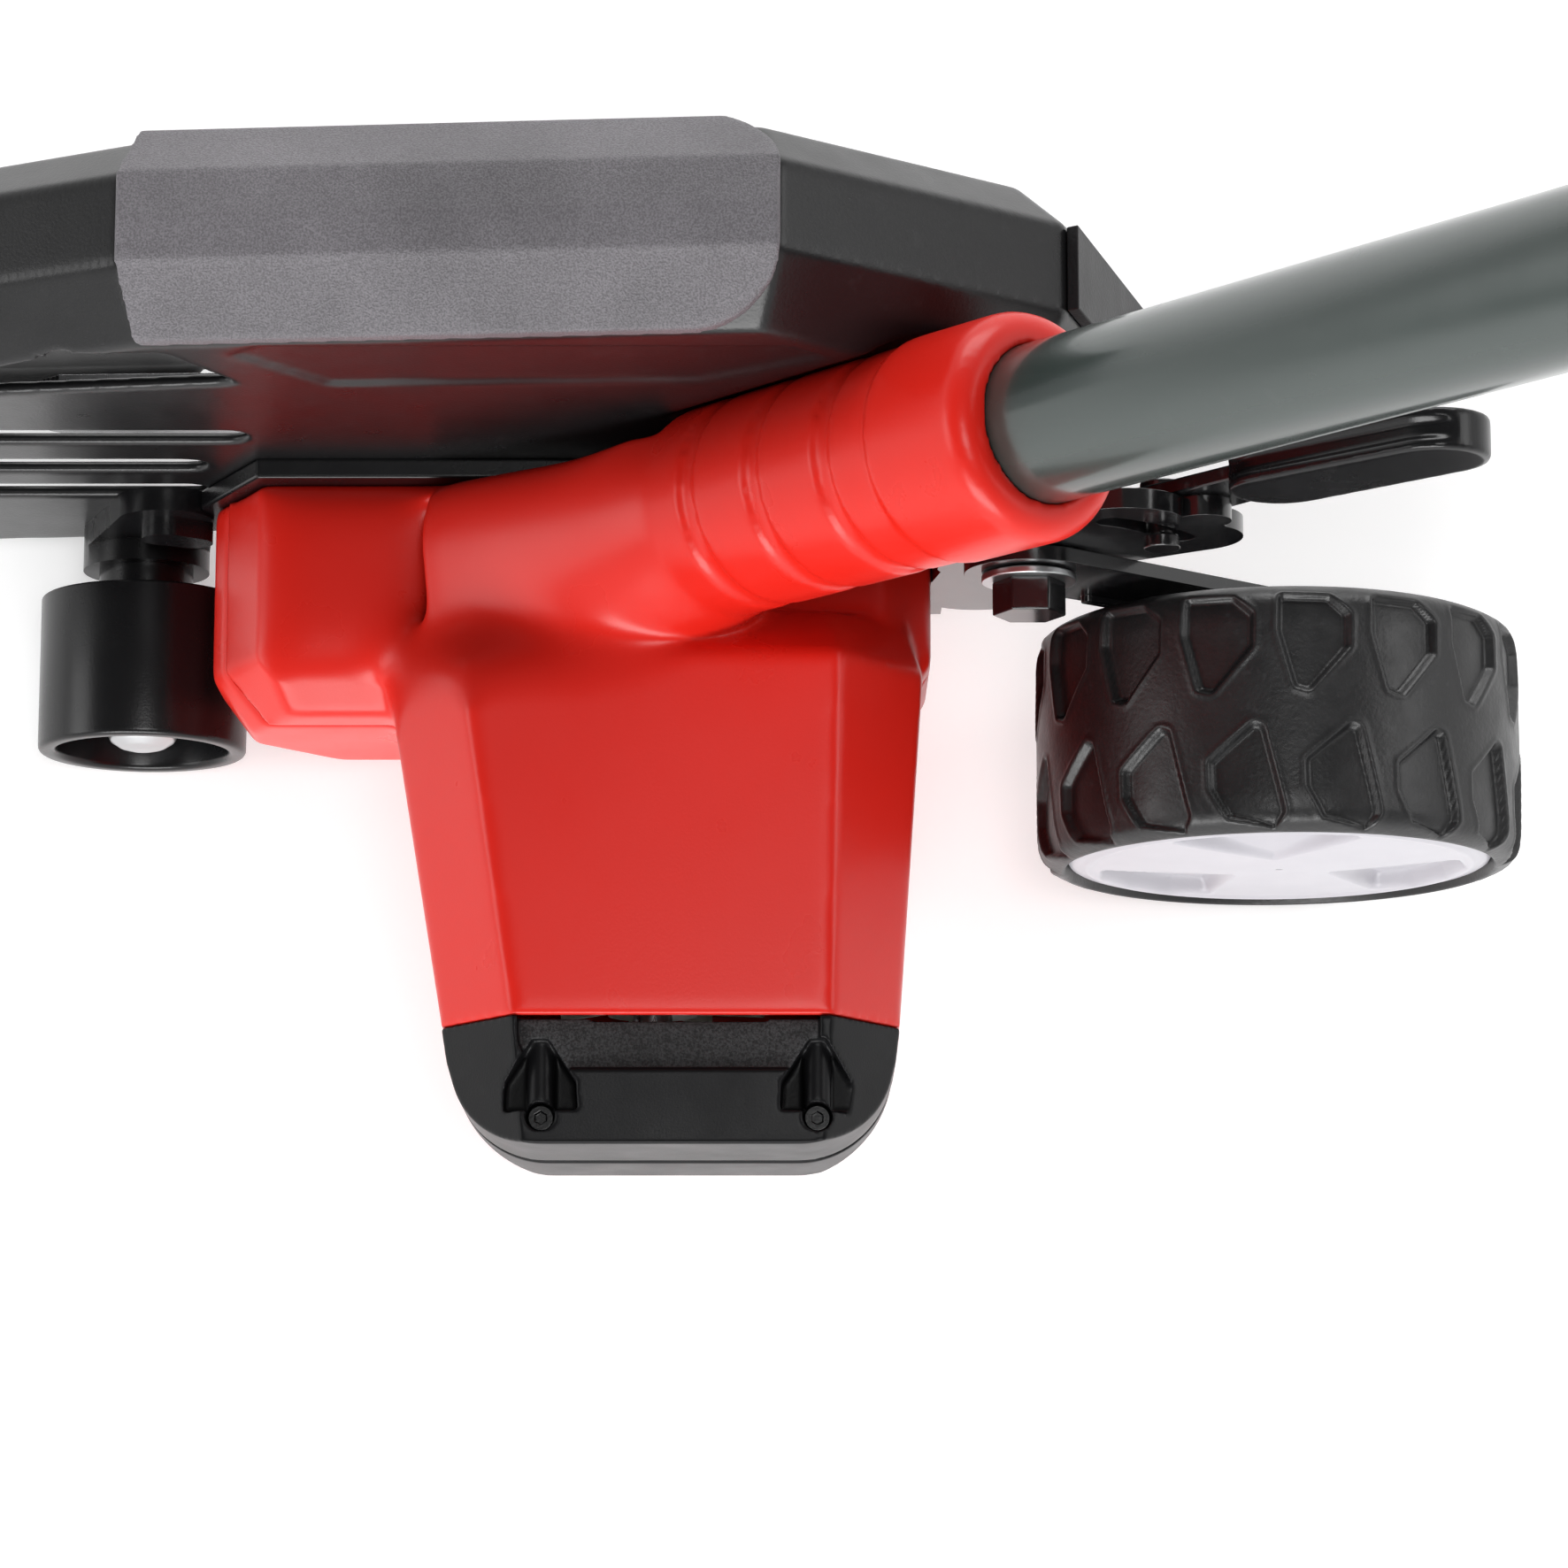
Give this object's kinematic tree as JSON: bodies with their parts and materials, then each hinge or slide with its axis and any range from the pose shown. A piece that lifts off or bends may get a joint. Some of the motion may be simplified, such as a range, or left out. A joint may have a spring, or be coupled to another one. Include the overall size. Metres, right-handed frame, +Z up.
{
  "type": "walk-behind lawn edger",
  "caption": "Cordless walk-behind lawn edger: guarded spinning blade, side motor, depth wheel on a swing arm, roller, telescopic pole, loop handle and battery rear handle.",
  "frame": {"origin": "middle of the machine outline on the ground, under the pole", "axes": "+X from the blade towards the motor, +Y from the blade head back to the user, +Z up"},
  "size_m": [0.209, 1.1472, 0.9978],
  "materials": {
    "red_plastic": "satin moulded",
    "black_plastic": "satin moulded",
    "guard_plastic": "fine grain",
    "grey_plastic": "coarse grain",
    "light_grey_plastic": "smooth",
    "black_steel": "black coated",
    "steel": "ground",
    "zinc_steel": "zinc plated",
    "pole_paint": "dark grey-green powder coat",
    "aluminium": "satin",
    "magnet": "sintered",
    "copper": "wound",
    "rubber": "matt",
    "tyre": "matt",
    "nylon": "moulded"
  },
  "bodies": {
    "head": {"guard_shell": "guard_plastic", "guard_bumper": "grey_plastic", "debris_flap": "rubber", "mount_plate": "black_plastic", "housing_upper": "red_plastic", "housing_lower": "red_plastic", "end_cap_upper": "black_plastic", "end_cap_lower": "black_plastic", "end_cap_liner": "black_plastic", "end_cap_screws": "zinc_steel", "gearbox_plate": "aluminium", "bearings": "steel", "motor_can": "steel", "motor_magnets": "magnet", "roller_bracket": "black_plastic", "roller_bolt": "zinc_steel", "sector_plate": "black_steel", "pivot_bolt": "black_steel", "pivot_washer": "zinc_steel", "lower_tube": "pole_paint", "pole_clamp": "black_plastic", "clamp_pin": "steel"},
    "blade_unit": {"spindle": "steel", "driven_gear": "steel", "inner_flange": "steel", "blade": "steel", "outer_flange": "steel", "blade_nut": "zinc_steel"},
    "motor_rotor": {"motor_shaft": "steel", "rotor_core": "copper", "pinion": "steel", "cooling_fan": "nylon"},
    "wheel_arm": {"arm_plate": "black_steel", "depth_lever": "black_steel", "lever_paddle": "rubber", "detent_pin": "black_steel", "wheel_axle": "steel"},
    "rear_wheel": {"tyre": "tyre", "wheel_rim": "black_plastic", "hub_cap": "light_grey_plastic"},
    "roller": {"front_roller": "black_plastic"},
    "clamp_lever": {"clamp_lever": "red_plastic"},
    "upper_pole": {"upper_tube": "aluminium", "aux_clamp": "black_plastic", "aux_bolt": "zinc_steel", "handle_left": "red_plastic", "handle_right": "red_plastic", "soft_grip": "rubber", "trigger_pin": "steel", "power_switch": "black_plastic", "terminal_block": "black_plastic"},
    "aux_handle": {"aux_loop": "black_plastic", "aux_grip": "rubber"},
    "aux_knob": {"aux_knob": "black_plastic"},
    "trigger": {"trigger": "black_plastic"},
    "lock_button": {"lock_off_button": "black_plastic"},
    "battery": {"battery_case": "black_plastic", "battery_foot": "black_plastic"},
    "battery_latch": {"battery_latch": "red_plastic"}
  },
  "joints": [
    {"name": "blade_spin", "type": "hinge", "parent": "head", "child": "blade_unit", "pos_m": [-0.01949, -0.43963, 0.048], "axis": [1, 0, 0], "continuous": true},
    {"name": "motor_spin", "type": "hinge", "parent": "head", "child": "motor_rotor", "pos_m": [-0.01949, -0.404, 0.07], "axis": [1, 0, 0], "continuous": true},
    {"name": "wheel_height", "type": "hinge", "parent": "head", "child": "wheel_arm", "pos_m": [-0.01949, -0.32863, 0.09], "axis": [1, 0, 0], "range_deg": [-9, 20]},
    {"name": "rear_wheel_spin", "type": "hinge", "parent": "wheel_arm", "child": "rear_wheel", "pos_m": [-0.01949, -0.27563, 0.05], "axis": [1, 0, 0], "continuous": true},
    {"name": "roller_spin", "type": "hinge", "parent": "head", "child": "roller", "pos_m": [-0.01949, -0.51413, 0.022], "axis": [1, 0, 0], "continuous": true},
    {"name": "clamp_lever_turn", "type": "hinge", "parent": "head", "child": "clamp_lever", "pos_m": [-0.01949, 0.0036, 0.50952], "axis": [-1, 0, 0], "range_deg": [0, 100]},
    {"name": "pole_length", "type": "slide", "parent": "head", "child": "upper_pole", "axis": [0, 0.6613, 0.7501], "range_m": [-0.16, 0]},
    {"name": "aux_tilt", "type": "hinge", "parent": "upper_pole", "child": "aux_handle", "pos_m": [-0.01949, 0.11079, 0.72032], "axis": [1, 0, 0], "range_deg": [-35, 35]},
    {"name": "aux_knob_turn", "type": "hinge", "parent": "upper_pole", "child": "aux_knob", "pos_m": [-0.01949, 0.11079, 0.72032], "axis": [1, 0, 0], "continuous": true},
    {"name": "trigger_pull", "type": "hinge", "parent": "upper_pole", "child": "trigger", "pos_m": [-0.01949, 0.34719, 0.89741], "axis": [1, 0, 0], "range_deg": [0, 8], "stiffness_Nm_per_rad": 0.8, "springref_deg": -6.88},
    {"name": "lock_press", "type": "slide", "parent": "upper_pole", "child": "lock_button", "axis": [0, 0.4226, -0.9063], "range_m": [0, 0.003], "stiffness_N_per_m": 300, "springref_m": -0.002},
    {"name": "battery_slide", "type": "slide", "parent": "upper_pole", "child": "battery", "axis": [0, -0.4226, 0.9063], "range_m": [0, 0.09]},
    {"name": "latch_press", "type": "slide", "parent": "battery", "child": "battery_latch", "axis": [0, 0.4226, -0.9063], "range_m": [0, 0.003], "stiffness_N_per_m": 300, "springref_m": -0.002}
  ],
  "couplings": [
    {"joint": "motor_spin", "follows": "blade_spin", "ratio": -1.7917}
  ]
}
